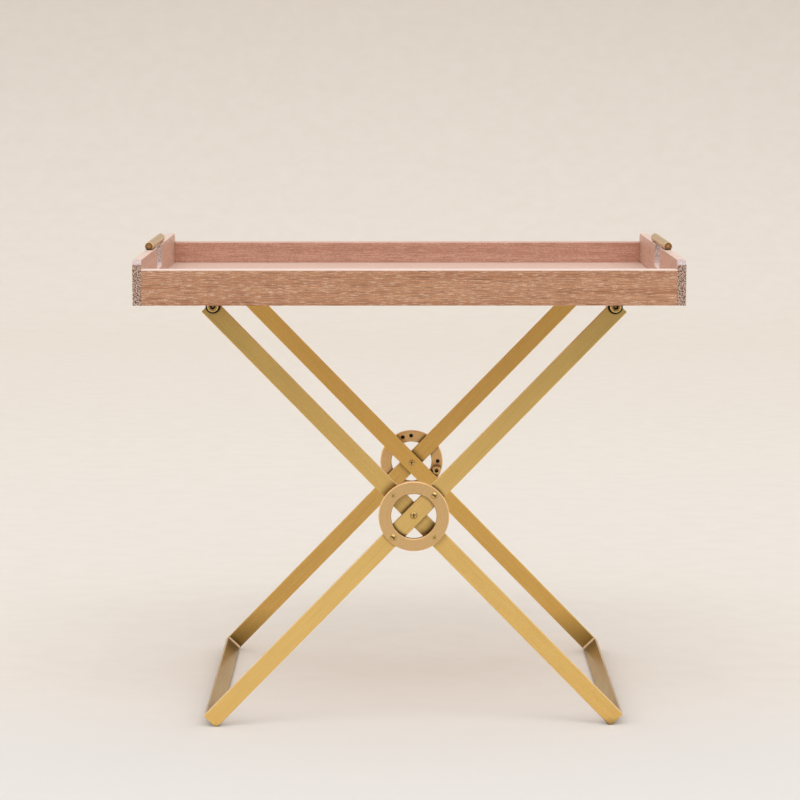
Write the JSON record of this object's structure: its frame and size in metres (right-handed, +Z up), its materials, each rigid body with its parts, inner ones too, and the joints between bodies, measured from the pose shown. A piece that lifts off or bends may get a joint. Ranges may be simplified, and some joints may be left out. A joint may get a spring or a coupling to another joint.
{
  "type": "tray table",
  "caption": "Folding tray table: a shallow oak tray with brass end handles rests on the rods of a crossed flat-bar stand whose frames turn on ringed pivots.",
  "frame": {"origin": "On the floor under the middle of the tray", "axes": "+X along the tray's width to the right as seen from the front, -Y to the front, +Z up"},
  "size_m": [0.75, 0.5, 0.6706],
  "materials": {
    "limed_oak": "matte limed oak",
    "limed_oak_floor": "satin limed oak veneer",
    "beech": "bare planed",
    "handle_brass": "satin turned",
    "bar_brass": "satin, brushed along the bar",
    "ring_brass": "satin, turned",
    "screw_brass": "polished",
    "black_steel": "black oxide",
    "zinc_steel": "zinc plated",
    "glide_nylon": "moulded nylon",
    "pad_rubber": "smooth strip"
  },
  "bodies": {
    "outer_stand": {"outer_front_leg": "bar_brass", "outer_back_leg": "bar_brass", "outer_foot_rail": "bar_brass", "outer_brazed_corners": "bar_brass", "outer_top_rod": "bar_brass", "outer_rod_screws": "screw_brass", "outer_rod_washers": "black_steel", "front_ring": "ring_brass", "back_ring": "ring_brass", "front_ring_screws": "screw_brass", "back_ring_screws": "screw_brass", "front_flush_screws": "screw_brass", "back_flush_screws": "screw_brass", "front_glides": "glide_nylon", "back_glides": "glide_nylon", "front_stop_stud": "screw_brass", "back_stop_stud": "screw_brass", "front_pivot_post": "screw_brass", "back_pivot_post": "screw_brass", "front_pivot_screw": "screw_brass", "back_pivot_screw": "screw_brass", "pivot_washers": "glide_nylon"},
    "inner_stand": {"inner_front_leg": "bar_brass", "inner_back_leg": "bar_brass", "inner_foot_rail": "bar_brass", "inner_brazed_corners": "bar_brass", "inner_top_rod": "bar_brass", "inner_rod_screws": "screw_brass", "inner_rod_washers": "black_steel"},
    "tray": {"tray_front_rail": "limed_oak", "tray_back_rail": "limed_oak", "left_end": "limed_oak", "right_end": "limed_oak", "tray_floor": "limed_oak_floor", "corner_dowels": "beech", "left_handle": "handle_brass", "right_handle": "handle_brass", "left_handle_studs": "zinc_steel", "right_handle_studs": "zinc_steel", "left_chock": "beech", "right_chock": "beech", "left_rod_pad": "pad_rubber", "right_rod_pad": "pad_rubber", "chock_screws": "zinc_steel"}
  },
  "joints": [
    {"name": "stand_fold", "type": "hinge", "parent": "outer_stand", "child": "inner_stand", "pos_m": [0.0066, 0, 0.30194], "axis": [0, 1, 0], "range_deg": [0, 83.5]},
    {"name": "tray_lift", "type": "slide", "parent": "outer_stand", "child": "tray", "axis": [0, 0, 1], "range_m": [0, 0.53]}
  ],
  "couplings": [
    {"joint": "tray_lift", "follows": "stand_fold", "m_per_rad": 0.36}
  ]
}
